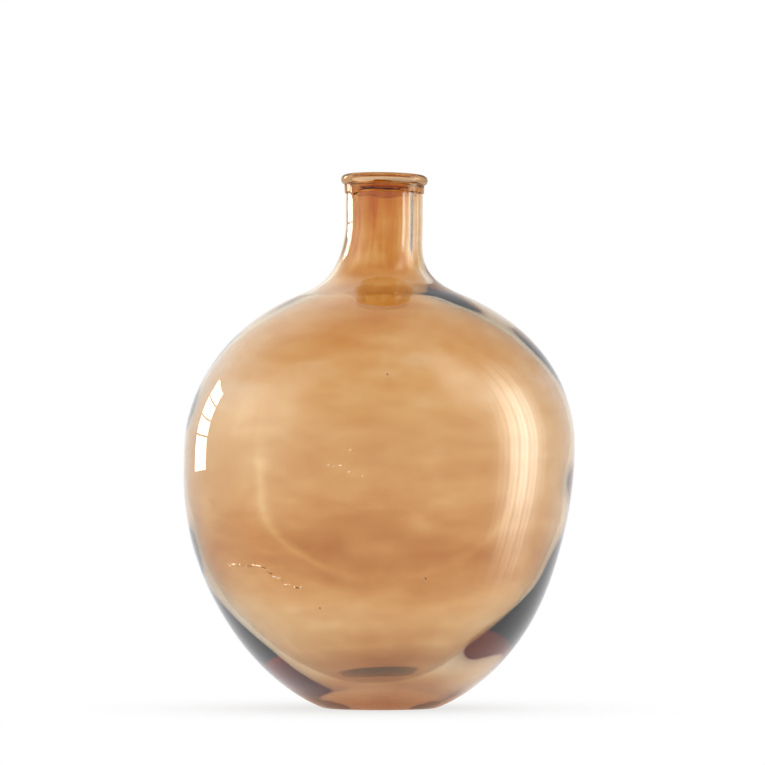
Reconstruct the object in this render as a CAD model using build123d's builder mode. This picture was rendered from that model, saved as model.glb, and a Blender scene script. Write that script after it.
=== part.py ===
"""A large amber bottle vase: a clear blown-glass bottle, the lip of glass laid round its
mouth, and the amber coating that lines the inside.

Millimetres, +Z up. The origin is on the ground, under the middle of the body.
"""
import os

from build123d import *

# The whole vase.
total_height = 560.0
body_radius = 205.0

# The body's outline is a quarter of an ellipse above a taller one, with a short upright band
# between them. The lower one is cut flat where the vase stands. Each quarter is a Bezier
# curve whose handles are this part of the ellipse's half widths.
ellipse_handle = 0.5523
band_bottom = 260.0
band_top = 272.0
lower_depth = 271.5
upper_rise = 178.0

# The glass is thinnest at the belly and thickest round the foot.
belly_wall = 5.0
crown_wall = 7.0
floor_level = 16.0

# The neck stands a little to one side of the body's axis, as blown glass does. It tapers
# a little up to its straight top.
neck_offset = 4.5
neck_radius = 40.6
neck_root_radius = 46.0
neck_foot_below_crown = 16.0
neck_straight_from = 512.0
neck_wall = 5.6
neck_root_wall = 6.5
neck_flare = 60.0

# The lip: a rounded bead on the neck's end, with a thin skirt that laps the neck outside.
lip_radius = 45.8
lip_seat_below_top = 11.0
bead_radius = 5.2
bore_rounding = 4.5
skirt_length = 8.5
skirt_thickness = 1.3

# The foot: a flat ring round a shallow push-up.
push_up_radius = 44.0
push_up_depth = 6.0
push_up_rounding = 2.0
foot_rounding = 16.0

# The coating, which ends a little below the rounding of the lip.
coating_thickness = 0.5
coating_below_rounding = 1.0

neck_end = total_height - lip_seat_below_top
bore_radius = neck_radius - neck_wall
rounding_start = total_height - bore_rounding
coating_end = rounding_start - coating_below_rounding
above_everything = total_height + 5.0
mouth_axis = Axis((neck_offset, 0, 0), (0, 0, 1))
mouth_plane = Plane(origin=(neck_offset, 0, 0), x_dir=(1, 0, 0), z_dir=(0, -1, 0))


def bottle_form(radius, depth, rise, root_radius, top_radius, top, flare):
    """A closed egg-shaped body with a neck that flares into its shoulder."""
    crown = band_top + rise
    neck_foot = crown - neck_foot_below_crown
    with BuildPart() as form:
        with BuildSketch(Plane.XZ):
            with BuildLine():
                Bezier(
                    (0, band_bottom - depth),
                    (ellipse_handle * radius, band_bottom - depth),
                    (radius, band_bottom - ellipse_handle * depth),
                    (radius, band_bottom),
                )
                Line((radius, band_bottom), (radius, band_top))
                Bezier(
                    (radius, band_top),
                    (radius, band_top + ellipse_handle * rise),
                    (ellipse_handle * radius, crown),
                    (0, crown),
                )
                Line((0, crown), (0, band_bottom - depth))
            make_face()
        revolve(axis=Axis.Z)
        with BuildSketch(mouth_plane):
            Polygon(
                (0, neck_foot),
                (root_radius, neck_foot),
                (top_radius, neck_straight_from),
                (top_radius, top),
                (0, top),
                align=None,
            )
        revolve(axis=mouth_axis)
        neck_root = form.edges().filter_by_position(Axis.Z, neck_foot, crown)
        fillet(neck_root, radius=flare)
    return form.part


def hollow(inset):
    """The space inside the glass, drawn in by inset all round and open past the mouth."""
    return bottle_form(
        radius=body_radius - belly_wall - inset,
        depth=band_bottom - floor_level - inset,
        rise=upper_rise - crown_wall - inset,
        root_radius=neck_root_radius - neck_root_wall - inset,
        top_radius=bore_radius - inset,
        top=above_everything,
        flare=neck_flare + neck_root_wall + inset,
    )


outside = bottle_form(
    radius=body_radius,
    depth=lower_depth,
    rise=upper_rise,
    root_radius=neck_root_radius,
    top_radius=neck_radius,
    top=neck_end,
    flare=neck_flare,
)
space_in_glass = hollow(0.0)
space_in_coating = hollow(coating_thickness)

# The push-up is a cap of a large ball.
push_up_ball_radius = (push_up_radius**2 + push_up_depth**2) / (2 * push_up_depth)
with BuildPart() as glass_bottle:
    add(outside)
    split(bisect_by=Plane.XY, keep=Keep.TOP)
    fillet(glass_bottle.edges().group_by(Axis.Z)[0], radius=foot_rounding)
    with Locations((0, 0, push_up_depth - push_up_ball_radius)):
        Sphere(push_up_ball_radius, mode=Mode.SUBTRACT)
    standing_face = glass_bottle.faces().filter_by(Axis.Z).sort_by(Axis.Z)[0]
    push_up_edge = standing_face.edges().sort_by(SortBy.LENGTH)[0]
    fillet(push_up_edge, radius=push_up_rounding)
    add(space_in_glass, mode=Mode.SUBTRACT)
glass_bottle.part.label = "glass_bottle"

# The bead is a half round on the lip's outer edge. It runs into the skirt below.
bead_centre_radius = lip_radius - bead_radius
bead_centre_level = total_height - bead_radius
skirt_radius = neck_radius + skirt_thickness
bead_start_drop = (bead_radius**2 - (skirt_radius - bead_centre_radius) ** 2) ** 0.5
with BuildPart() as applied_lip:
    with BuildSketch(mouth_plane):
        with BuildLine():
            Polyline(
                (bore_radius, rounding_start),
                (bore_radius, neck_end),
                (neck_radius, neck_end),
                (neck_radius, neck_end - skirt_length),
                (skirt_radius, neck_end - skirt_length),
                (skirt_radius, bead_centre_level - bead_start_drop),
            )
            ThreePointArc(
                (skirt_radius, bead_centre_level - bead_start_drop),
                (lip_radius, bead_centre_level),
                (bead_centre_radius, total_height),
            )
            Line((bead_centre_radius, total_height), (bore_radius + bore_rounding, total_height))
            TangentArc(
                (bore_radius + bore_rounding, total_height),
                (bore_radius, rounding_start),
                tangent=(-1, 0),
            )
        make_face()
    revolve(axis=mouth_axis)
applied_lip.part.label = "applied_lip"

with BuildPart() as amber_coating:
    add(space_in_glass)
    split(bisect_by=Plane.XY.offset(coating_end), keep=Keep.BOTTOM)
    add(space_in_coating, mode=Mode.SUBTRACT)
amber_coating.part.label = "amber_coating"

os.makedirs("parts", exist_ok=True)
export_step(glass_bottle.part, "parts/glass_bottle.step")
export_step(applied_lip.part, "parts/applied_lip.step")
export_step(amber_coating.part, "parts/amber_coating.step")

print("free bore radius", bore_radius - coating_thickness)
print("free bore from", neck_straight_from, "to", coating_end)
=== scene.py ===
"""Looks for the amber bottle vase: blown clear glass, the lip laid round its mouth, the amber
lining, and the small faults that such glass has."""
import math

import bpy
import numpy as np
from mathutils import Matrix, Vector


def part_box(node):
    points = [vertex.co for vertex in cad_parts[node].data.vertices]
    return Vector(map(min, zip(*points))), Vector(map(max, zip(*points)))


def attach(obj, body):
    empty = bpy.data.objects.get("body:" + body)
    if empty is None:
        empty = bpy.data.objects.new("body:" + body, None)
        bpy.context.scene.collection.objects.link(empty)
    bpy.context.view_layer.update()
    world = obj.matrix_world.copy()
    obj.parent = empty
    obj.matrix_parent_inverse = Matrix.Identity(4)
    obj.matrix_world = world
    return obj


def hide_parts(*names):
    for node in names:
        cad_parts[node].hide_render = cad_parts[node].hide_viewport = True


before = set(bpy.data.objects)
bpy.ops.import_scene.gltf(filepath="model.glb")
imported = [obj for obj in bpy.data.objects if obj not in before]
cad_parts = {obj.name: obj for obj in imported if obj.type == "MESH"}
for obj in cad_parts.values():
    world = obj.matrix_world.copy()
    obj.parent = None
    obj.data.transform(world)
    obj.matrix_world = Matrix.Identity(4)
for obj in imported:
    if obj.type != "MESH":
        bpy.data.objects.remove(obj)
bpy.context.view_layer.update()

BOTTLE_LOW, BOTTLE_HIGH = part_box("glass_bottle")
LIP_LOW, LIP_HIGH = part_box("applied_lip")
COAT_LOW, COAT_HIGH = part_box("amber_coating")

# The outline, as the CAD has it, in metres.
TOTAL_HEIGHT = LIP_HIGH.z
BODY_RADIUS = (BOTTLE_HIGH.x - BOTTLE_LOW.x) / 2
BAND_BOTTOM = 0.260
BAND_TOP = 0.272
LOWER_DEPTH = 0.2715
UPPER_RISE = 0.178
INNER_RADIUS = (COAT_HIGH.x - COAT_LOW.x) / 2
FLOOR_LEVEL = COAT_LOW.z
INNER_RISE = 0.171
NECK_OFFSET = (LIP_LOW.x + LIP_HIGH.x) / 2
NECK_END = BOTTLE_HIGH.z
NECK_STRAIGHT_FROM = 0.512
NECK_RADIUS = 0.0406
BORE_RADIUS = 0.0350
LIP_RADIUS = (LIP_HIGH.x - LIP_LOW.x) / 2
BEAD_RADIUS = 0.0052
BORE_ROUNDING = 0.0045
SKIRT_THICKNESS = 0.0013
SKIRT_BOTTOM = LIP_LOW.z
PUSH_UP_RADIUS = 0.044
PUSH_UP_DEPTH = 0.006
FOOT_RADIUS = 0.0555
FOOT_EASE = 0.0016
FLARE_START_RADIUS = 0.088
FLARE_START_INSET = 0.004
FLARE_FULLNESS = 0.80

# The lacquer clings to the glass with no air between them, so the glass's inside face lies
# between the two skins of the lacquer, and what is reflected from that face is amber too.
SKIN_INSETS = (0.0000, 0.0005)
GLASS_INSET = 0.0002
JOINT_GAP = 0.0001

ROUND_STEPS = 216
OUTLINE_STEP = 0.0038
LAPPED_STEP = 0.0017

# How many points a curve is drawn with, before it is spaced out evenly.
SMOOTH_CURVE = 600
SHORT_CURVE = 400

# A turned skin leaves its last bit round the axis to a pole.
POLE_RADIUS = 0.004


# ---------------------------------------------------------------- outlines

def quarter(radius, level, reach, start, stop, count):
    """Points on a quarter ellipse, from angle start to stop above the level."""
    angles = np.linspace(start, stop, count)
    return np.column_stack([radius * np.cos(angles), level + reach * np.sin(angles)])


def bezier(points, count):
    """Points on the cubic curve with these four control points."""
    p = np.array(points, float)
    t = np.linspace(0.0, 1.0, count)[:, None]
    s = 1 - t
    return s ** 3 * p[0] + 3 * s ** 2 * t * p[1] + 3 * s * t ** 2 * p[2] + t ** 3 * p[3]


def resample(points, step):
    """The same line with its points about a step apart."""
    points = np.array(points, float)
    keep = np.r_[True, np.hypot(*np.diff(points, axis=0).T) > 1e-7]
    points = points[keep]
    along = np.r_[0.0, np.cumsum(np.hypot(*np.diff(points, axis=0).T))]
    count = max(2, int(round(along[-1] / step)) + 1)
    even = np.linspace(0.0, along[-1], count)
    return np.column_stack([np.interp(even, along, points[:, k]) for k in (0, 1)])


def shoulder_and_neck(radius, rise, straight_radius, flare_radius, top):
    """From the top of the upright band over the shoulder and up the neck."""
    angle = math.acos(flare_radius / radius)
    dome = quarter(radius, BAND_TOP, rise, 0.0, angle, SHORT_CURVE)
    foot = dome[-1]
    slope = np.array([-radius * math.sin(angle), rise * math.cos(angle)])
    slope /= np.hypot(*slope)
    to_neck_line = (foot[0] - straight_radius) / -slope[0]
    corner_level = foot[1] + to_neck_line * slope[1]
    handle_level = NECK_STRAIGHT_FROM - (NECK_STRAIGHT_FROM - corner_level) * FLARE_FULLNESS
    flare = bezier([
        foot,
        foot + slope * to_neck_line * FLARE_FULLNESS,
        (straight_radius, handle_level),
        (straight_radius, NECK_STRAIGHT_FROM),
    ], SHORT_CURVE)
    straight = np.array([(straight_radius, NECK_STRAIGHT_FROM), (straight_radius, top)])
    return np.vstack([dome, flare, straight])


def outer_line():
    """The outside from the middle of the foot to the end of the neck."""
    cap_parts = np.linspace(0.0, 1.0, 60)
    push_up = np.column_stack([PUSH_UP_RADIUS * cap_parts, PUSH_UP_DEPTH * (1 - cap_parts ** 2)])
    lower_start = math.asin((BAND_BOTTOM - FOOT_EASE) / LOWER_DEPTH)
    lower = quarter(BODY_RADIUS, BAND_BOTTOM, -LOWER_DEPTH, lower_start, 0.0, SMOOTH_CURVE)
    ring = np.array([(PUSH_UP_RADIUS + 0.001, 0.0), (FOOT_RADIUS, 0.0)])
    foot = bezier([ring[1], ring[1] + (0.003, 0.0), lower[0] - (0.0025, 0.001), lower[0]], 20)
    upper = shoulder_and_neck(BODY_RADIUS, UPPER_RISE, NECK_RADIUS, FLARE_START_RADIUS, SKIRT_BOTTOM)
    bare = resample(np.vstack([push_up, ring, foot, lower, upper]), OUTLINE_STEP)
    lapped = resample([(NECK_RADIUS, SKIRT_BOTTOM), (NECK_RADIUS, NECK_END)], LAPPED_STEP)
    return bare, lapped[1:]


def inner_line(inset, top):
    """The inside from the middle of the floor to the given level in the neck."""
    radius = INNER_RADIUS - inset
    depth = BAND_BOTTOM - FLOOR_LEVEL - inset
    lower = quarter(radius, BAND_BOTTOM, -depth, math.pi / 2, 0.0, SMOOTH_CURVE)
    flare_radius = FLARE_START_RADIUS - FLARE_START_INSET
    upper = shoulder_and_neck(radius, INNER_RISE - inset, BORE_RADIUS - inset, flare_radius, top)
    return resample(np.vstack([lower, upper]), OUTLINE_STEP)


# ---------------------------------------------------------------- the hand-made unevenness

def ease(value, low, high):
    """A smooth climb from 0 at low to 1 at high."""
    t = np.clip((value - low) / (high - low), 0.0, 1.0)
    return t * t * (3 - 2 * t)


def bump_at(value, centre, width):
    """A smooth hump, 1 at the centre."""
    return np.exp(-((value - centre) / width) ** 2)


def turned_from(around, angle):
    """How far round it is from this angle, between minus and plus half a turn."""
    return np.angle(np.exp(1j * (around - angle)))


def centre_x(level):
    """How far the middle of the glass stands to one side at each level."""
    neck = NECK_OFFSET * ease(level, NECK_FROM, NECK_STRAIGHT_FROM)
    lean = sum(shift * bump_at(level, middle, reach) for middle, reach, shift in LEANS)
    return neck + lean


def unevenness(level, around, seed, waves):
    """A slow swell and dip of a skin, in metres."""
    random = np.random.default_rng(seed)
    total = np.zeros(np.broadcast(level, around).shape)
    for turns, rise, size in waves:
        phase, other = random.uniform(0, 2 * math.pi, 2)
        total += size * np.sin(turns * around + phase) * np.sin(rise * level + other)
    return total


# Slow waves in a skin: how many round, how many radians per metre of height, and the swell.
OUTER_WAVES = [(1, 9, 0.0004), (2, 14, 0.0005), (3, 25, 0.0003), (5, 40, 0.00010)]
INNER_WAVES = [(1, 12, 0.0008), (2, 22, 0.0008), (3, 38, 0.0005), (5, 55, 0.0003), (8, 90, 0.00012)]
OUTER_SEED = 11
INNER_SEED = 12

# The waves set in over the first levels, and lose this part of their size over the second.
WAVES_RISE = (0.0, 0.03)
WAVES_CALM = (0.43, 0.50)
LOST_TO_CALM = 0.8

# Inside, the unevenness sets in between these distances from the axis, so the floor is even.
FLOOR_RADII = (0.02, 0.07)

# Where the body leans to one side: level, half height and shift of each.
LEANS = [(0.385, 0.06, 0.0015), (0.170, 0.075, -0.0030)]

# Where the wall is thicker on the +X side and thinner on the other: level, half height, depth.
THICKER = [(0.055, 0.040, 0.0050), (0.445, 0.050, 0.0016)]
THINNER = [(0.150, 0.060, 0.0030), (0.450, 0.055, 0.0030)]
SIDE_POWER = 1.5

# Where the neck's own shape sets in, and the levels where its ridges are at their full height.
NECK_FROM = 0.455
NECK_FULL_FROM = 0.49
RIDGES_FADE_FROM = 0.535
RIDGES_END = 0.552

# The tear of glass by the lip: its angle from +X, level, half sizes and height.
LUMP_ANGLE = -2.40
LUMP_WIDTH = 0.17
LUMP_LEVEL = 0.5425
LUMP_REACH = 0.0050
LUMP_HEIGHT = 0.0014

# Where the lip's skirt hangs lower: angle from +X, half width and drop of each.
SKIRT_SAGS = [(-1.55, 0.22, 0.0016), (-2.45, 0.20, 0.0040)]
SAG_REACH = 0.018

# The mouth is a little out of level, and the hollow stands a little to one side of the body.
MOUTH_TILT = -0.018
TILT_LEVELS = (0.50, 0.548)
HOLLOW_SHIFT = -0.0014
SHIFT_RISE = (0.03, 0.12)
SHIFT_FADE = (0.36, 0.46)

# Upright ridges and hollows in the neck: angle from +X, half width and height of each.
NECK_RIDGES = [
    (-1.16, 0.12, 0.00160), (-1.95, 0.12, -0.00035), (-0.60, 0.15, -0.0008), (1.30, 0.25, 0.00040),
    (2.60, 0.18, 0.00035), (-2.74, 0.17, -0.00060), (-2.36, 0.17, 0.00060),
]


def neck_ridges(around):
    total = np.zeros(np.shape(around))
    for angle, width, height in NECK_RIDGES:
        total = total + height * bump_at(turned_from(around, angle), 0.0, width)
    return total


def run_of_glass(level, around):
    """How much further in the inside face is at the heel and the shoulder. The glass ran to +X."""
    to_plus_x = (0.5 + 0.5 * np.cos(around)) ** SIDE_POWER
    to_minus_x = (0.5 - 0.5 * np.cos(around)) ** SIDE_POWER
    thick = sum(depth * bump_at(level, middle, reach) * to_plus_x for middle, reach, depth in THICKER)
    thin = sum(depth * bump_at(level, middle, reach) * to_minus_x for middle, reach, depth in THINNER)
    return thick - thin


def lump(level, around):
    """A tear of glass that ran down from the lip and froze."""
    beside = bump_at(turned_from(around, LUMP_ANGLE), 0.0, LUMP_WIDTH)
    return LUMP_HEIGHT * beside * bump_at(level, LUMP_LEVEL, LUMP_REACH)


def skirt_sag(level, around):
    """The ragged lower edge of the lip's skirt, as a shift along the neck."""
    fade = np.interp(level, [SKIRT_BOTTOM - SAG_REACH, SKIRT_BOTTOM, NECK_END], [0.0, 1.0, 0.0])
    sag = np.zeros(np.shape(around))
    for angle, width, drop in SKIRT_SAGS:
        sag = sag - drop * bump_at(turned_from(around, angle), 0.0, width)
    sag = sag + 0.0007 * np.sin(3 * around + 0.6) + 0.0004 * np.sin(7 * around)
    return fade * sag


def place(radius, level, around, inside):
    """The point of a skin at this radius, level and angle, with its unevenness."""
    calm = ease(level, *WAVES_RISE) * (1 - LOST_TO_CALM * ease(level, *WAVES_CALM))
    in_neck = ease(level, NECK_FROM, NECK_FULL_FROM)
    r = radius + calm * unevenness(level, around, OUTER_SEED, OUTER_WAVES)
    r = r + in_neck * neck_ridges(around) * (1 - ease(level, RIDGES_FADE_FROM, RIDGES_END))
    x_shift = 0.0
    if inside:
        reach = ease(radius, *FLOOR_RADII)
        waves = calm * unevenness(level, around, INNER_SEED, INNER_WAVES)
        r = r + reach * (waves - run_of_glass(level, around))
        r = r + in_neck * (0.00030 * np.sin(7 * around + 1) + 0.00016 * np.sin(13 * around))
        x_shift = HOLLOW_SHIFT * ease(level, *SHIFT_RISE) * (1 - ease(level, *SHIFT_FADE))
    else:
        r = r + lump(level, around)
        level = level + skirt_sag(level, around)
    x = centre_x(level) + x_shift + r * np.cos(around)
    y = r * np.sin(around)
    tilt = MOUTH_TILT * ease(level, *TILT_LEVELS)
    z = level + tilt * (x - NECK_OFFSET)
    return np.stack([x, y, z], axis=-1)


# ---------------------------------------------------------------- mesh making

def turned_mesh(name, rows, close_start, close_end, loop=False, extras=(), part_of_row=None):
    """A mesh from rings of points. rows has a ring in each row. The ends close on a pole if told.

    extras are closed shells of (points, faces, material index) that join the same mesh.
    part_of_row gives the material index of the faces between each ring and the next.
    """
    count = rows.shape[1]
    points = rows.reshape(-1, 3).tolist()
    faces = []
    slots = []
    ring_total = rows.shape[0]
    around = np.arange(count)
    nxt = (around + 1) % count
    for i in range(ring_total if loop else ring_total - 1):
        a = i * count
        b = ((i + 1) % ring_total) * count
        faces += np.column_stack([a + around, a + nxt, b + nxt, b + around]).tolist()
        slots += [0 if part_of_row is None else part_of_row[i]] * count
    for closes, ring, flip in ((close_start, 0, True), (close_end, ring_total - 1, False)):
        if closes:
            pole = len(points)
            points.append(rows[ring].mean(axis=0).tolist())
            a = ring * count
            for j in range(count):
                k = (j + 1) % count
                faces.append((a + k, a + j, pole) if flip else (a + j, a + k, pole))
                slots.append(0 if part_of_row is None else part_of_row[ring])
    for shell_points, shell_faces, slot in extras:
        start = len(points)
        points += shell_points
        faces += [tuple(start + index for index in face) for face in shell_faces]
        slots += [slot] * len(shell_faces)
    mesh = bpy.data.meshes.new(name)
    mesh.from_pydata(points, [], faces)
    mesh.polygons.foreach_set("material_index", slots)
    mesh.update()
    mesh.shade_smooth()
    piece = bpy.data.objects.new(name, mesh)
    bpy.context.scene.collection.objects.link(piece)
    return piece


def rings(line, inside):
    """The line turned round the axis, with the unevenness of the inside or outside face."""
    around = np.linspace(0, 2 * math.pi, ROUND_STEPS, endpoint=False)[None, :]
    radius = line[:, 0][:, None]
    level = line[:, 1][:, None]
    return place(radius, level, around, inside)


def trimmed(line):
    """The line without its points next to the axis."""
    return line[line[:, 0] > POLE_RADIUS]


def pebble(centre, half_sizes, turn, slot):
    """A small closed ellipsoid with the material at this index."""
    turns, bands = 10, 6
    points = []
    faces = []
    for i in range(1, bands):
        up = math.pi * i / bands - math.pi / 2
        for j in range(turns):
            angle = 2 * math.pi * j / turns
            points.append((math.cos(up) * math.cos(angle), math.cos(up) * math.sin(angle), math.sin(up)))
    low = len(points)
    points += [(0, 0, -1), (0, 0, 1)]
    for i in range(bands - 2):
        for j in range(turns):
            a = i * turns + j
            b = i * turns + (j + 1) % turns
            faces.append((a, b, b + turns, a + turns))
    last = (bands - 2) * turns
    for j in range(turns):
        k = (j + 1) % turns
        faces.append((k, j, low))
        faces.append((last + j, last + k, low + 1))
    spin = Matrix.Rotation(turn[0], 3, "Z") @ Matrix.Rotation(turn[1], 3, "Y")
    placed = []
    for point in points:
        sized = Vector(h * c for h, c in zip(half_sizes, point))
        placed.append(tuple(Vector(centre) + spin @ sized))
    return placed, faces, slot


# ---------------------------------------------------------------- materials

def new_material(name):
    material = bpy.data.materials.new(name)
    material.use_nodes = True
    nodes = material.node_tree.nodes
    nodes.clear()
    return material, nodes, material.node_tree.links


def math_node(nodes, links, operation, *values):
    """A Math node. Each value is a number or another node's output."""
    node = nodes.new("ShaderNodeMath")
    node.operation = operation
    for socket, value in zip(node.inputs, values):
        if isinstance(value, (int, float)):
            socket.default_value = value
        else:
            links.new(value, socket)
    return node.outputs[0]


def noise(nodes, links, vector, scale, detail):
    texture = nodes.new("ShaderNodeTexNoise")
    texture.inputs["Scale"].default_value = scale
    texture.inputs["Detail"].default_value = detail
    links.new(vector, texture.inputs["Vector"])
    return texture.outputs["Fac"]


def stretched(nodes, links, vector, amounts):
    """The vector with each part multiplied by its own amount."""
    node = nodes.new("ShaderNodeVectorMath")
    node.operation = "MULTIPLY"
    links.new(vector, node.inputs[0])
    node.inputs[1].default_value = amounts
    return node.outputs[0]


def stretched_noise(nodes, links, vector, kind):
    """Noise of a kind that says how it is stretched, its scale and its detail."""
    amounts, scale, detail = kind
    return noise(nodes, links, stretched(nodes, links, vector, amounts), scale, detail)


# Clear glass, tinted below the first of two levels and clear from the second up.
GLASS_TINT = (0.995, 0.995, 0.995)
GLASS_IOR = 1.5
RIPPLE_HEIGHT = 0.002
FOOT_TINT = (0.70, 0.52, 0.40)
FOOT_TINT_LEVELS = (0.008, 0.024)
LIP_TINT = (0.82, 0.66, 0.50)


def clear_glass(name, tint, ripple, foot_tint):
    """Clear glass with a faint ripple, tinted more at the thick foot. Lamps shine through it."""
    material, nodes, links = new_material(name)
    coords = nodes.new("ShaderNodeTexCoord")
    glass = nodes.new("ShaderNodeBsdfGlass")
    glass.inputs["IOR"].default_value = GLASS_IOR
    glass.inputs["Roughness"].default_value = 0.0
    height = nodes.new("ShaderNodeSeparateXYZ")
    links.new(coords.outputs["Object"], height.inputs["Vector"])
    by_height = nodes.new("ShaderNodeValToRGB")
    fill_ramp(by_height, [(FOOT_TINT_LEVELS[0], foot_tint), (FOOT_TINT_LEVELS[1], tint)])
    links.new(height.outputs["Z"], by_height.inputs["Fac"])
    links.new(by_height.outputs["Color"], glass.inputs["Color"])
    wave = noise(nodes, links, coords.outputs["Object"], 9.0, 2.0)
    bump = nodes.new("ShaderNodeBump")
    bump.inputs["Strength"].default_value = ripple
    bump.inputs["Distance"].default_value = RIPPLE_HEIGHT
    links.new(wave, bump.inputs["Height"])
    links.new(bump.outputs["Normal"], glass.inputs["Normal"])
    through = nodes.new("ShaderNodeBsdfTransparent")
    through.inputs["Color"].default_value = (0.96, 0.96, 0.96, 1)
    light_path = nodes.new("ShaderNodeLightPath")
    mix = nodes.new("ShaderNodeMixShader")
    links.new(light_path.outputs["Is Shadow Ray"], mix.inputs["Fac"])
    links.new(glass.outputs["BSDF"], mix.inputs[1])
    links.new(through.outputs["BSDF"], mix.inputs[2])
    output = nodes.new("ShaderNodeOutputMaterial")
    links.new(mix.outputs["Shader"], output.inputs["Surface"])
    return material


def fused_glass():
    """A face where two gathers of glass have run together, which light crosses unbent."""
    material, nodes, links = new_material("fused_glass")
    through = nodes.new("ShaderNodeBsdfTransparent")
    through.inputs["Color"].default_value = (0.99, 0.985, 0.98, 1)
    output = nodes.new("ShaderNodeOutputMaterial")
    links.new(through.outputs["BSDF"], output.inputs["Surface"])
    return material


# The white of the painted glints: pale seeds paint a bubble's glint.
GLINT_PAINT_COLOUR = (1.0, 0.93, 0.82, 1)
GRIT_COLOUR = (0.03, 0.018, 0.01, 1)


def painted_glint_seed():
    """A pale body, lit white in front and through, that paints the glint of an air bubble: a painted
    highlight.
    """
    material, nodes, links = new_material("painted_glint_seed")
    front = nodes.new("ShaderNodeBsdfDiffuse")
    front.inputs["Color"].default_value = GLINT_PAINT_COLOUR
    behind = nodes.new("ShaderNodeBsdfTranslucent")
    behind.inputs["Color"].default_value = GLINT_PAINT_COLOUR
    both = nodes.new("ShaderNodeAddShader")
    links.new(front.outputs["BSDF"], both.inputs[0])
    links.new(behind.outputs["BSDF"], both.inputs[1])
    output = nodes.new("ShaderNodeOutputMaterial")
    links.new(both.outputs["Shader"], output.inputs["Surface"])
    return material


def dark_grit():
    """A speck of dirt in the glass."""
    material, nodes, links = new_material("dark_grit")
    diffuse = nodes.new("ShaderNodeBsdfDiffuse")
    diffuse.inputs["Color"].default_value = GRIT_COLOUR
    output = nodes.new("ShaderNodeOutputMaterial")
    links.new(diffuse.outputs["BSDF"], output.inputs["Surface"])
    return material


# What one skin of the coating lets through at its usual thickness, and what each further
# thickness takes away. A straight look through the vase crosses four skins.
SKIN_TINT = (0.926, 0.796, 0.624)
DEEPER_TINT_LOW = (0.905, 0.815, 0.700)
DEEPER_TINT_HIGH = (0.925, 0.780, 0.500)
LOW_TO_HIGH = (0.300, 0.360)
THICKEST = 3.0

# The lacquer's bands wander up and down by half of this, in metres.
BAND_DRIFT = 0.06

# The lacquer's clouds and wisps, and upright runs in the neck: stretch, scale and detail of each.
CLOUDS = ((1.0, 1.0, 1.7), 9.0, 6.0)
WISPS = ((1.0, 1.0, 2.5), 24.0, 4.0)
RUNS = ((1.0, 1.0, 0.1), 75.0, 2.0)
CLOUD_GAIN_AND_BASE = (1.30, 0.35)
WISP_GAIN_AND_BASE = (0.70, -0.35)
RUNS_LEVELS = (0.44, 0.48)
RUNS_STRENGTH = 2.8

# The lacquer is a little thicker at the front and back than at the sides.
SIDE_THICKNESS = 0.87
FRONT_GAIN = 0.26
NOT_ZERO = 1e-5

# The outer skin's share of the colour at each level: 1 is half, and the other skin has the rest.
OUTER_SKIN_SHARES = [
    (0.000, 1.20), (0.040, 1.20), (0.065, 0.95), (0.125, 0.95), (0.185, 1.20), (0.340, 1.20),
    (0.385, 0.50), (0.445, 0.50), (0.475, 1.40),
]

# How thick the lacquer lies at each level in metres, where 1 is its usual thickness.
LACQUER_LEVELS = [
    (0.000, 0.90), (0.020, 1.20), (0.045, 1.45), (0.062, 1.15), (0.090, 0.75), (0.125, 1.35),
    (0.160, 1.68), (0.190, 1.30), (0.225, 1.08), (0.290, 1.00), (0.330, 0.88), (0.370, 1.05),
    (0.400, 1.40), (0.430, 1.30), (0.470, 1.35), (0.540, 1.55),
]


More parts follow.
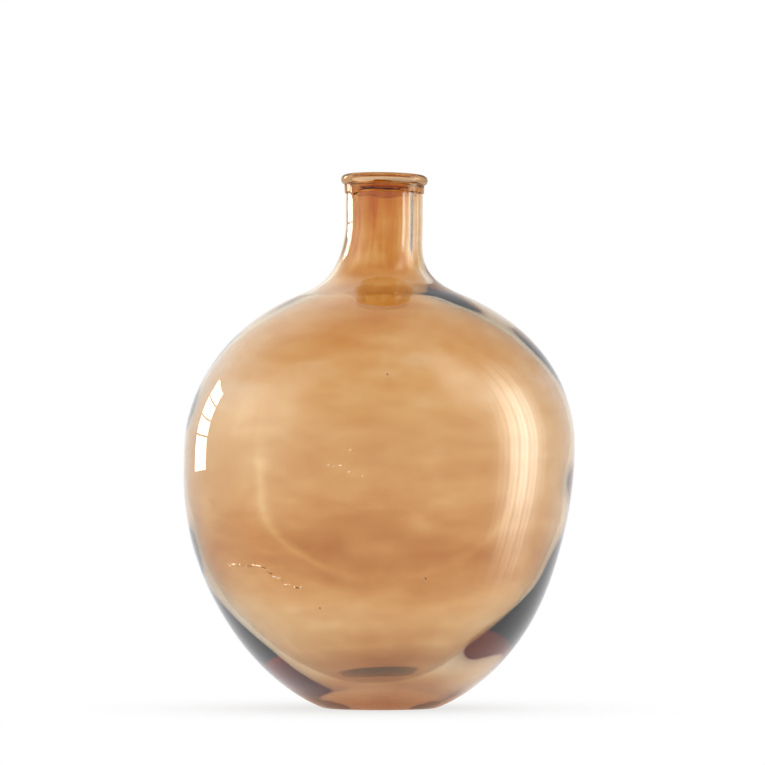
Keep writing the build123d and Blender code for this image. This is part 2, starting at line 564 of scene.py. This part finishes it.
def amber_lacquer(name, shares):
    """See-through amber, denser in bands and clouds. A skin has its share of the colour by level."""
    material, nodes, links = new_material(name)

    def m(operation, *values):
        return math_node(nodes, links, operation, *values)

    coords = nodes.new("ShaderNodeTexCoord")
    place_in_piece = coords.outputs["Object"]
    split = nodes.new("ShaderNodeSeparateXYZ")
    links.new(place_in_piece, split.inputs["Vector"])
    drift = noise(nodes, links, place_in_piece, 5.0, 3.0)
    level = m("MULTIPLY_ADD", drift, BAND_DRIFT, split.outputs["Z"])
    along = m("MULTIPLY_ADD", level, 1.0 / TOTAL_HEIGHT, -BAND_DRIFT / 2 / TOTAL_HEIGHT)
    bands = nodes.new("ShaderNodeValToRGB")
    bands.color_ramp.interpolation = "EASE"
    fill_ramp(bands, [(z / TOTAL_HEIGHT, (d / THICKEST,) * 3) for z, d in LACQUER_LEVELS])
    links.new(along, bands.inputs["Fac"])
    clouds = stretched_noise(nodes, links, place_in_piece, CLOUDS)
    wisps = stretched_noise(nodes, links, place_in_piece, WISPS)
    runs = stretched_noise(nodes, links, place_in_piece, RUNS)
    in_neck = nodes.new("ShaderNodeMapRange")
    in_neck.inputs["From Min"].default_value = RUNS_LEVELS[0]
    in_neck.inputs["From Max"].default_value = RUNS_LEVELS[1]
    in_neck.inputs["To Max"].default_value = RUNS_STRENGTH
    links.new(split.outputs["Z"], in_neck.inputs["Value"])
    cloudy = m("MULTIPLY_ADD", clouds, *CLOUD_GAIN_AND_BASE)
    wispy = m("MULTIPLY_ADD", wisps, *WISP_GAIN_AND_BASE)
    runny = m("MULTIPLY", m("SUBTRACT", runs, 0.5), in_neck.outputs["Result"])
    uneven = m("ADD", m("ADD", cloudy, wispy), runny)
    x_squared = m("POWER", split.outputs["X"], 2.0)
    y_squared = m("POWER", split.outputs["Y"], 2.0)
    out_squared = m("ADD", m("ADD", x_squared, y_squared), NOT_ZERO)
    fore_and_aft = m("DIVIDE", y_squared, out_squared)
    uneven = m("MULTIPLY", uneven, m("MULTIPLY_ADD", fore_and_aft, FRONT_GAIN, SIDE_THICKNESS))
    # The painted light ring on the back wall: thinner lacquer in a ring, with painted shade inside it.
    uneven = m("SUBTRACT", uneven, painted_light_ring(nodes, links, split, clouds))
    density = m("MULTIPLY", bands.outputs["Color"], uneven)
    height_mix = nodes.new("ShaderNodeMapRange")
    height_mix.inputs["From Min"].default_value = LOW_TO_HIGH[0]
    height_mix.inputs["From Max"].default_value = LOW_TO_HIGH[1]
    links.new(split.outputs["Z"], height_mix.inputs["Value"])
    tint = nodes.new("ShaderNodeMix")
    tint.data_type = "RGBA"
    links.new(height_mix.outputs["Result"], tint.inputs["Factor"])
    for socket, deeper_tint in (("A", DEEPER_TINT_LOW), ("B", DEEPER_TINT_HIGH)):
        by_density = nodes.new("ShaderNodeValToRGB")
        fill_ramp(by_density, tint_steps(deeper_tint))
        links.new(density, by_density.inputs["Fac"])
        links.new(by_density.outputs["Color"], tint.inputs[socket])
    share_ramp = nodes.new("ShaderNodeValToRGB")
    fill_ramp(share_ramp, [(z / TOTAL_HEIGHT, (share / 2,) * 3) for z, share in shares])
    links.new(m("DIVIDE", split.outputs["Z"], TOTAL_HEIGHT), share_ramp.inputs["Fac"])
    shared = nodes.new("ShaderNodeGamma")
    links.new(tint.outputs["Result"], shared.inputs["Color"])
    links.new(m("MULTIPLY", share_ramp.outputs["Color"], 2.0), shared.inputs["Gamma"])
    through = nodes.new("ShaderNodeBsdfTransparent")
    links.new(shared.outputs["Color"], through.inputs["Color"])
    output = nodes.new("ShaderNodeOutputMaterial")
    links.new(through.outputs["BSDF"], output.inputs["Surface"])
    return material


# A painted light ring in the lacquer of the back wall. Where the ring runs, the lacquer is thinner, which
# stands in for light that the back wall's curved inside gathers. Within the ring the lacquer is thicker, as
# painted shade.
# The middle of the ellipse seen from the front, its half width and half height, and how wide the ring is.
LIGHT_RING_MIDDLE = (0.010, 0.247)
LIGHT_RING_HALF_SIZES = (0.142, 0.127)
LIGHT_RING_WIDTH = 0.045
LIGHT_RING_FADES_OVER = 0.045
LIGHT_RING_STRENGTH = 1.1
SHADE_INSIDE_LIGHT_RING = -0.10


def painted_light_ring(nodes, links, split, clouds):
    """How much thinner the lacquer is in the painted light ring, more at some places than at others, and how
    much thicker it is within the ring, as painted shade.
    """
    def m(operation, *values):
        return math_node(nodes, links, operation, *values)

    x, y, z = split.outputs
    across = m("DIVIDE", m("SUBTRACT", x, LIGHT_RING_MIDDLE[0]), LIGHT_RING_HALF_SIZES[0])
    upward = m("DIVIDE", m("SUBTRACT", z, LIGHT_RING_MIDDLE[1]), LIGHT_RING_HALF_SIZES[1])
    out = m("SQRT", m("ADD", m("MULTIPLY", across, across), m("MULTIPLY", upward, upward)))
    off = m("DIVIDE", m("SUBTRACT", out, 1.0), LIGHT_RING_WIDTH)
    line = m("EXPONENT", m("MULTIPLY", m("MULTIPLY", off, off), -1.0))
    at_back = m("GREATER_THAN", y, 0.0)
    shade_inside_ring = m("MULTIPLY", m("LESS_THAN", out, 1.0), SHADE_INSIDE_LIGHT_RING)
    low = nodes.new("ShaderNodeMapRange")
    low.inputs["From Min"].default_value = LIGHT_RING_MIDDLE[1] + LIGHT_RING_FADES_OVER
    low.inputs["From Max"].default_value = LIGHT_RING_MIDDLE[1]
    links.new(z, low.inputs["Value"])
    strength = m("MULTIPLY", m("MULTIPLY", clouds, LIGHT_RING_STRENGTH), m("ABSOLUTE", across))
    thinner = m("MULTIPLY", m("ADD", m("MULTIPLY", line, strength), shade_inside_ring), low.outputs["Result"])
    return m("MULTIPLY", thinner, at_back)


def tint_steps(deeper_tint):
    """Ramp stops from no lacquer to the thickest."""
    stops = []
    for position in np.linspace(0.0, 1.0, 7):
        colour = [base * deeper ** (THICKEST * position - 1) for base, deeper in zip(SKIN_TINT, deeper_tint)]
        stops.append((position, tuple(min(1.0, c) for c in colour)))
    return stops


def fill_ramp(ramp, stops):
    """Give a colour ramp these stops and no others."""
    elements = ramp.color_ramp.elements
    while len(elements) > 1:
        elements.remove(elements[-1])
    for index, (position, colour) in enumerate(stops):
        element = elements[0] if index == 0 else elements.new(position)
        element.position = position
        element.color = (*colour, 1.0)


# ---------------------------------------------------------------- the pieces

# Above this level the outline has one radius at each level.
FOOT_TOP = 0.02


def on_wall(around, level, depth):
    """A point in the wall at this depth under the outside face."""
    outline = outer_line()[0]
    body = outline[outline[:, 1] > FOOT_TOP]
    radius = np.interp(level, body[:, 1], body[:, 0])
    return place(radius - depth, level, around, False)


# The order of the bottle's materials after its clear glass.
GRIT_SLOT = 1
FUSED_SLOT = 2
GLINT_SEED_SLOT = 3

# The string of seeds: how many, where it runs, and how far under the outside face it lies. Some
# seeds are long and the rest round, and some are dark; the others are pale bodies, painted glints.
CHAIN_COUNT = 24
CHAIN_DEGREES = (-145, -116)
CHAIN_LEVEL = 0.1515
CHAIN_DROP = 0.020
CHAIN_DEPTH = 0.0025
LONG_SHARE = 0.45
LONG_SIZES = (0.0008, 0.0030)
ROUND_SIZES = (0.0004, 0.0009)
DARK_SHARE = 0.3
STRAY_DEPTH = 0.0022

# Stray seeds, pale bodies painted as glints, as angle from +X in degrees and level, and specks of dirt, with
# their size too.
STRAY_SEEDS = [
    (-104.5, 0.252), (-103.0, 0.2505), (-98.3, 0.267), (-98.4, 0.245), (-94.6, 0.241), (-101.0, 0.2515),
]
SPECKS = [(-88.0, 0.343, 0.0010), (-110.5, 0.108, 0.0011), (-74.5, 0.138, 0.0010)]


def seed_chain():
    """A string of seeds that the gather trapped, low on the front left, a few strays and specks."""
    random = np.random.default_rng(5)
    seeds = []
    start, stop = (math.radians(degrees) for degrees in CHAIN_DEGREES)
    for step in np.linspace(0.0, 1.0, CHAIN_COUNT):
        around = start + (stop - start) * (step + random.uniform(-0.012, 0.012))
        sunk = CHAIN_LEVEL - CHAIN_DROP * ease(step, 0.45, 0.95) - 0.002 * step
        level = sunk + random.uniform(-0.0012, 0.0012)
        is_long = random.uniform() < LONG_SHARE
        length = random.uniform(*(LONG_SIZES if is_long else ROUND_SIZES))
        sizes = (length, 0.0006, random.uniform(0.0004, 0.0008))
        turn = (around + math.pi / 2, random.uniform(-0.1, 0.3))
        dark = random.uniform() < DARK_SHARE
        slot = GRIT_SLOT if dark else GLINT_SEED_SLOT
        seeds.append(pebble(on_wall(around, level, CHAIN_DEPTH), sizes, turn, slot))
    for degrees, level in STRAY_SEEDS:
        around = math.radians(degrees)
        sizes = (random.uniform(0.0006, 0.0018), 0.0005, 0.0005)
        turn = (around + math.pi / 2, 0.1)
        seeds.append(pebble(on_wall(around, level, STRAY_DEPTH), sizes, turn, GLINT_SEED_SLOT))
    for degrees, level, size in SPECKS:
        around = math.radians(degrees)
        sizes = (size * 0.7, 0.0006, size)
        seeds.append(pebble(on_wall(around, level, STRAY_DEPTH), sizes, (around, 0.0), GRIT_SLOT))
    return seeds


def make_bottle():
    """The blown bottle. It meets the lip where the lip laps it, and there light crosses unbent."""
    bare, lapped = outer_line()
    outer = trimmed(bare)
    inner = trimmed(inner_line(GLASS_INSET, NECK_END))
    end = np.linspace(lapped[-1], inner[-1], 5)[1:-1]
    outer_rings = rings(np.vstack([outer, lapped, end[:1]]), inside=False)
    inner_rings = rings(np.vstack([end[1:], inner[::-1]]), inside=True)
    all_rings = np.concatenate([outer_rings, inner_rings])
    fused = np.zeros(len(all_rings), int)
    fused[len(outer) - 1:len(outer) + len(lapped) + len(end)] = FUSED_SLOT
    piece = turned_mesh("bottle_glass", all_rings, True, True, extras=seed_chain(), part_of_row=fused)
    piece.data.materials.append(clear_glass("blown_glass", GLASS_TINT, 0.02, FOOT_TINT))
    piece.data.materials.append(dark_grit())
    piece.data.materials.append(fused_glass())
    piece.data.materials.append(painted_glint_seed())
    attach(piece, "root")
    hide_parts("glass_bottle")


def make_lining():
    """The lacquer: a skin against the glass and a skin against the air, closed at both ends."""
    top = COAT_HIGH.z
    out_skin = trimmed(inner_line(SKIN_INSETS[0], top))
    in_skin = trimmed(inner_line(SKIN_INSETS[1], top))
    all_rings = np.concatenate([rings(out_skin, True), rings(in_skin[::-1], True)])
    skins = np.zeros(len(all_rings), int)
    skins[len(out_skin):] = 1
    piece = turned_mesh("amber_lining", all_rings, True, True, part_of_row=skins)
    rest = [(level, 2 - share) for level, share in OUTER_SKIN_SHARES]
    piece.data.materials.append(amber_lacquer("amber_lacquer_on_glass", OUTER_SKIN_SHARES))
    piece.data.materials.append(amber_lacquer("amber_lacquer_open", rest))
    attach(piece, "root")
    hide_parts("amber_coating")


def make_lip():
    """The lip: a rounded bead, with a thin skirt round the end of the neck."""
    inner_r = BORE_RADIUS - GLASS_INSET
    skirt_in = NECK_RADIUS + JOINT_GAP
    skirt_out = NECK_RADIUS + SKIRT_THICKNESS
    centre_r = LIP_RADIUS - BEAD_RADIUS
    centre_z = TOTAL_HEIGHT - BEAD_RADIUS
    seat = NECK_END + JOINT_GAP
    bead = np.linspace(-1.25, math.pi / 2, 26)
    free = [(centre_r + BEAD_RADIUS * math.cos(a), centre_z + BEAD_RADIUS * math.sin(a)) for a in bead]
    rounding = np.linspace(math.pi / 2, math.pi, 12)
    centre_in = (inner_r + BORE_ROUNDING, TOTAL_HEIGHT - BORE_ROUNDING)
    free += [(centre_in[0] + BORE_ROUNDING * math.cos(a), centre_in[1] + BORE_ROUNDING * math.sin(a))
             for a in rounding]
    free += [(inner_r, seat)]
    foot = [(skirt_in, SKIRT_BOTTOM), (skirt_out - 0.0005, SKIRT_BOTTOM)]
    foot += [(skirt_out, SKIRT_BOTTOM + 0.0010), free[0]]
    free_line = resample(np.vstack([resample(foot, 0.0006), resample(free, 0.0009)]), 0.0009)
    joined_line = resample([free[-1], (skirt_in, seat), (skirt_in, SKIRT_BOTTOM)], 0.0017)
    line = np.vstack([free_line, joined_line[1:-1]])
    joined = np.zeros(len(line), int)
    joined[len(free_line) - 1:] = 1
    piece = turned_mesh("lip_glass", rings(line, False), False, False, loop=True, part_of_row=joined)
    piece.data.materials.append(clear_glass("lip_glass", LIP_TINT, 0.03, LIP_TINT))
    piece.data.materials.append(fused_glass())
    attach(piece, "root")
    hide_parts("applied_lip")


# ---------------------------------------------------------------- the studio

# Light that has met fewer faces than the first number is shallow. Light that has met more than
# the second has wandered about inside a wall. The world counts one more face than the floor.
FLOOR_DEPTHS = (3.5, 4.5)
WORLD_DEPTHS = (3.5, 5.5)

FLOOR_SIZE = 40
FLOOR_GAP = 0.0002
FLOOR_COLOUR = (0.95, 0.95, 0.95, 1)

# The table's own shading fades out between these distances from the vase.
FADE_LEVELS = (0.12, 0.50)
FADE_SHARES = (0.75, 1.0)


def kinds_of_light(nodes, links, depths):
    """Whether light has only glanced off the glass, has gone through one wall and out again, or
    has wandered about inside a wall."""
    light_path = nodes.new("ShaderNodeLightPath")
    depth = light_path.outputs["Ray Depth"]
    shallow = math_node(nodes, links, "LESS_THAN", depth, depths[0])
    glanced = math_node(nodes, links, "MULTIPLY", light_path.outputs["Is Glossy Ray"], shallow)
    passed = math_node(nodes, links, "MULTIPLY", light_path.outputs["Is Transmission Ray"], shallow)
    wandered = math_node(nodes, links, "GREATER_THAN", depth, depths[1])
    return glanced, passed, wandered


def make_floor():
    """A pale table that fades into the white backdrop. What glances off the glass doesn't see it,
    and light that comes through the glass sees it in other shades."""
    bpy.ops.mesh.primitive_plane_add(size=FLOOR_SIZE, location=(0, 0, -FLOOR_GAP))
    floor = bpy.context.object
    floor.name = "studio_floor"
    material, nodes, links = new_material("pale_floor")
    glanced, passed, wandered = kinds_of_light(nodes, links, FLOOR_DEPTHS)
    geometry = nodes.new("ShaderNodeNewGeometry")
    length = nodes.new("ShaderNodeVectorMath")
    length.operation = "LENGTH"
    from_middle = nodes.new("ShaderNodeVectorMath")
    from_middle.operation = "SUBTRACT"
    links.new(geometry.outputs["Position"], from_middle.inputs[0])
    from_middle.inputs[1].default_value = PAINTED_LIGHT_POOL_MIDDLE
    links.new(from_middle.outputs[0], length.inputs[0])
    away = length.outputs["Value"]

    diffuse = nodes.new("ShaderNodeBsdfDiffuse")
    diffuse.inputs["Color"].default_value = FLOOR_COLOUR
    white = nodes.new("ShaderNodeEmission")
    white.inputs["Color"].default_value = (1, 1, 1, 1)
    fade = nodes.new("ShaderNodeMapRange")
    fade.inputs["From Min"].default_value = FADE_LEVELS[0]
    fade.inputs["From Max"].default_value = FADE_LEVELS[1]
    fade.inputs["To Min"].default_value = FADE_SHARES[0]
    fade.inputs["To Max"].default_value = FADE_SHARES[1]
    links.new(away, fade.inputs["Value"])
    table = nodes.new("ShaderNodeMixShader")
    links.new(fade.outputs["Result"], table.inputs["Fac"])
    links.new(diffuse.outputs["BSDF"], table.inputs[1])
    links.new(white.outputs["Emission"], table.inputs[2])

    # Light that came through the glass sees painted emission: a painted pool of amber light near the vase,
    # and painted shade further out.
    shade = nodes.new("ShaderNodeValToRGB")
    fill_ramp(shade, [(distance / RAMP_REACH, colour) for distance, colour in TABLE_SHADES])
    links.new(math_node(nodes, links, "DIVIDE", away, RAMP_REACH), shade.inputs["Fac"])
    dark = nodes.new("ShaderNodeEmission")
    links.new(shade.outputs["Color"], dark.inputs["Color"])
    to_glass = nodes.new("ShaderNodeMixShader")
    links.new(passed, to_glass.inputs["Fac"])
    links.new(table.outputs["Shader"], to_glass.inputs[1])
    links.new(dark.outputs["Emission"], to_glass.inputs[2])
    dim = nodes.new("ShaderNodeEmission")
    dim.inputs["Strength"].default_value = SEEN_BY_WANDERING_LIGHT
    to_wanderers = nodes.new("ShaderNodeMixShader")
    links.new(wandered, to_wanderers.inputs["Fac"])
    links.new(to_glass.outputs["Shader"], to_wanderers.inputs[1])
    links.new(dim.outputs["Emission"], to_wanderers.inputs[2])

    open_air = nodes.new("ShaderNodeBsdfTransparent")
    mix = nodes.new("ShaderNodeMixShader")
    links.new(glanced, mix.inputs["Fac"])
    links.new(to_wanderers.outputs["Shader"], mix.inputs[1])
    links.new(open_air.outputs["BSDF"], mix.inputs[2])
    output = nodes.new("ShaderNodeOutputMaterial")
    links.new(mix.outputs["Shader"], output.inputs["Surface"])
    floor.data.materials.append(material)


# How the table looks through the wall's edge, by the distance from this point, as painted emission. Near
# the vase it is a painted pool of the amber light that would come through the glass. Further out it is
# painted darker grey, as painted shade, and then white.
PAINTED_LIGHT_POOL_MIDDLE = (-0.04, 0.0, 0.0)
TABLE_SHADES = [
    (0.00, (0.44, 0.22, 0.11)), (0.14, (0.50, 0.28, 0.15)), (0.24, (0.32, 0.25, 0.20)),
    (0.50, (0.30, 0.30, 0.31)), (0.80, (0.50, 0.51, 0.52)), (1.10, (0.75, 0.75, 0.75)),
    (1.65, (1.0, 1.0, 1.0)),
]
RAMP_REACH = 3.0

# How bright the floor and the world are to light that has wandered about inside a wall.
SEEN_BY_WANDERING_LIGHT = 0.40

# How bright the room looks in the glass, by the sine of the elevation.
ROOM_SHADES = [(-1.0, 1.0), (0.10, 1.0), (0.30, 0.80), (0.50, 0.62), (0.75, 0.60), (1.0, 0.70)]

# Soft lights: azimuth from -Y towards +X, elevation, their spreads in degrees, brightness, and
# how strongly upright slats stripe them.
SOFT_LIGHTS = [
    (93.0, 8.0, 15.0, 27.0, 8.0, 0.30), (64.0, 44.0, 18.0, 20.0, 2.6, 0.0),
    (-78.0, 24.0, 30.0, 24.0, 2.4, 0.10), (-145.0, 36.0, 30.0, 26.0, 0.9, 0.0),
]
LIGHT_COLOUR = (1.0, 0.97, 0.86)
EDGE_POWER = 2.4

# The slats are the product of two waves, with this many radians in each radian of azimuth.
SLATS = (61.0, 23.0)

# The reflected window: azimuths, elevations and number of its panes, one above another.
WINDOW_AZIMUTHS = (-137.5, -122.0)
WINDOW_ELEVATIONS = (-0.2, 22.5)
WINDOW_PANES = 4
GLAZING_BAR = 0.11
WINDOW_BRIGHTNESS = 8.0

# How much of the soft lights shows through both walls, and from what sine of the elevation on.
SEEN_DEEP_IN_GLASS = 0.35
FULL_ABOVE_HORIZON = 0.45


def make_world():
    """White to the camera and deep in the glass. Light that only glances off the glass, or goes
    through one wall, sees a dimmer room with soft lights and a window."""
    world = bpy.data.worlds.new("studio")
    bpy.context.scene.world = world
    world.use_nodes = True
    nodes, links = world.node_tree.nodes, world.node_tree.links
    nodes.clear()

    def m(operation, *values):
        return math_node(nodes, links, operation, *values)

    coords = nodes.new("ShaderNodeTexCoord")
    split = nodes.new("ShaderNodeSeparateXYZ")
    links.new(coords.outputs["Generated"], split.inputs["Vector"])
    x, y, z = split.outputs
    azimuth = m("ARCTAN2", x, m("MULTIPLY", y, -1.0))
    elevation = m("ARCSINE", z)

    lights = None
    fine, coarse = (m("SINE", m("MULTIPLY", azimuth, count)) for count in SLATS)
    slats = m("MULTIPLY", fine, coarse)
    for middle, height, width, tall, brightness, striped in SOFT_LIGHTS:
        across = m("DIVIDE", m("SUBTRACT", azimuth, math.radians(middle)), math.radians(width))
        upward = m("DIVIDE", m("SUBTRACT", elevation, math.radians(height)), math.radians(tall))
        sideways = m("POWER", m("ABSOLUTE", across), EDGE_POWER)
        up_or_down = m("POWER", m("ABSOLUTE", upward), EDGE_POWER)
        away = m("ADD", sideways, up_or_down)
        glow = m("MULTIPLY", m("EXPONENT", m("MULTIPLY", away, -1.0)), brightness)
        glow = m("MULTIPLY", glow, m("MULTIPLY_ADD", slats, striped, 1.0))
        lights = glow if lights is None else m("ADD", lights, glow)

    low, high = (math.radians(v) for v in WINDOW_AZIMUTHS)
    in_width = m("COMPARE", azimuth, (low + high) / 2, (high - low) / 2)
    foot, head = (math.radians(v) for v in WINDOW_ELEVATIONS)
    rows = m("MULTIPLY", m("SUBTRACT", elevation, foot), WINDOW_PANES / (head - foot))
    in_height = m("COMPARE", rows, WINDOW_PANES / 2, WINDOW_PANES / 2)
    off_bar = m("GREATER_THAN", m("FRACT", rows), GLAZING_BAR)
    window = m("MULTIPLY", m("MULTIPLY", in_width, in_height), off_bar)

    room = nodes.new("ShaderNodeValToRGB")
    fill_ramp(room, [((s + 1) / 2, (g, g, g * 1.02)) for s, g in ROOM_SHADES])
    links.new(m("MULTIPLY_ADD", z, 0.5, 0.5), room.inputs["Fac"])
    shallow_room = nodes.new("ShaderNodeMix")
    shallow_room.data_type = "RGBA"
    shallow_room.blend_type = "ADD"
    shallow_room.clamp_result = False
    shallow_room.inputs["Factor"].default_value = 1.0
    links.new(room.outputs["Color"], shallow_room.inputs["A"])
    warm_lights = nodes.new("ShaderNodeVectorMath")
    warm_lights.operation = "SCALE"
    warm_lights.inputs[0].default_value = LIGHT_COLOUR
    links.new(m("ADD", lights, m("MULTIPLY", window, WINDOW_BRIGHTNESS)), warm_lights.inputs["Scale"])
    links.new(warm_lights.outputs["Vector"], shallow_room.inputs["B"])

    light_path = nodes.new("ShaderNodeLightPath")
    glanced, passed, wandered = kinds_of_light(nodes, links, WORLD_DEPTHS)
    above_horizon = nodes.new("ShaderNodeMapRange")
    above_horizon.inputs["From Max"].default_value = FULL_ABOVE_HORIZON
    above_horizon.inputs["To Max"].default_value = SEEN_DEEP_IN_GLASS
    links.new(z, above_horizon.inputs["Value"])
    deep = m("MULTIPLY", light_path.outputs["Is Transmission Ray"], above_horizon.outputs["Result"])
    dimming = m("MULTIPLY_ADD", wandered, SEEN_BY_WANDERING_LIGHT - 1.0, 1.0)
    white = m("MULTIPLY", m("ADD", m("MULTIPLY", lights, deep), 1.0), dimming)
    mix = nodes.new("ShaderNodeMix")
    mix.data_type = "RGBA"
    links.new(m("MAXIMUM", glanced, passed), mix.inputs["Factor"])
    links.new(white, mix.inputs["A"])
    links.new(shallow_room.outputs["Result"], mix.inputs["B"])
    background = nodes.new("ShaderNodeBackground")
    links.new(mix.outputs["Result"], background.inputs["Color"])
    output = nodes.new("ShaderNodeOutputWorld")
    links.new(background.outputs["Background"], output.inputs["Surface"])


def make_lamps():
    """One broad soft light from above, which the glass doesn't mirror."""
    sun = bpy.data.lights.new("overhead", "SUN")
    sun.energy = 0.6
    sun.angle = math.radians(70)
    overhead = bpy.data.objects.new("overhead", sun)
    bpy.context.scene.collection.objects.link(overhead)
    overhead.visible_glossy = False
    overhead.visible_transmission = False


def make_camera():
    """Square on to the front, low, and tilted up a little."""
    distance = 4.4
    eye_level = 0.187
    picture_width = 0.804
    sideways = 0.0026
    aim_level = 0.3416
    camera = bpy.data.cameras.new("camera")
    camera.sensor_fit = "HORIZONTAL"
    camera.angle = 2 * math.atan(picture_width / 2 / distance)
    obj = bpy.data.objects.new("camera", camera)
    bpy.context.scene.collection.objects.link(obj)
    obj.location = (sideways, -distance, eye_level)
    aim = Vector((sideways, 0.0, aim_level))
    obj.rotation_euler = (aim - obj.location).to_track_quat("-Z", "Y").to_euler()
    bpy.context.scene.camera = obj


make_camera()
make_bottle()
make_lining()
make_lip()
make_floor()
make_world()
make_lamps()

scene = bpy.context.scene
scene.view_settings.view_transform = "Standard"
scene.cycles.use_denoising = True
scene.cycles.max_bounces = 24
scene.cycles.transmission_bounces = 24
scene.cycles.glossy_bounces = 12
scene.cycles.transparent_max_bounces = 32
scene.cycles.caustics_refractive = False
scene.cycles.caustics_reflective = False
